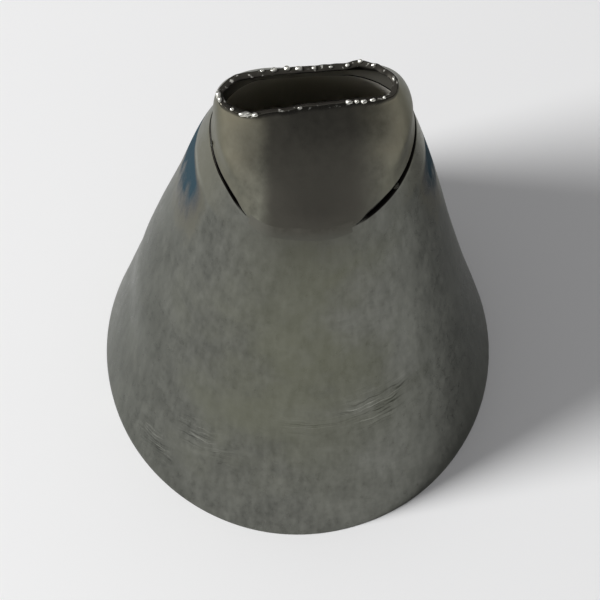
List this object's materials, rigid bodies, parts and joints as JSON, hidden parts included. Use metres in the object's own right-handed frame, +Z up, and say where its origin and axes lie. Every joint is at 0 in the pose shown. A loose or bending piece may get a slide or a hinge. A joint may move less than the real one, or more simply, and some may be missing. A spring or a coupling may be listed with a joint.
{
  "type": "piping nozzle",
  "caption": "Tapered steel piping nozzle with a welded head that goes from round to a narrow straight slot, for flat ribbons of icing.",
  "frame": {"origin": "centre of the base rim, in the plane that the rim stands on", "axes": "+Z up the cone's axis to the mouth, X along the slot, -Y the front that the picture shows"},
  "size_m": [0.018, 0.018, 0.033],
  "materials": {
    "cone_steel": "dull satin stainless sheet with fine scratches",
    "spout_steel": "satin stainless sheet with draw lines",
    "weld_steel": "ground weld metal"
  },
  "bodies": {
    "root": {"cone_body": "cone_steel", "slot_spout": "spout_steel", "front_weld": "weld_steel", "rear_weld": "weld_steel", "right_tack": "weld_steel", "left_tack": "weld_steel"}
  },
  "joints": []
}
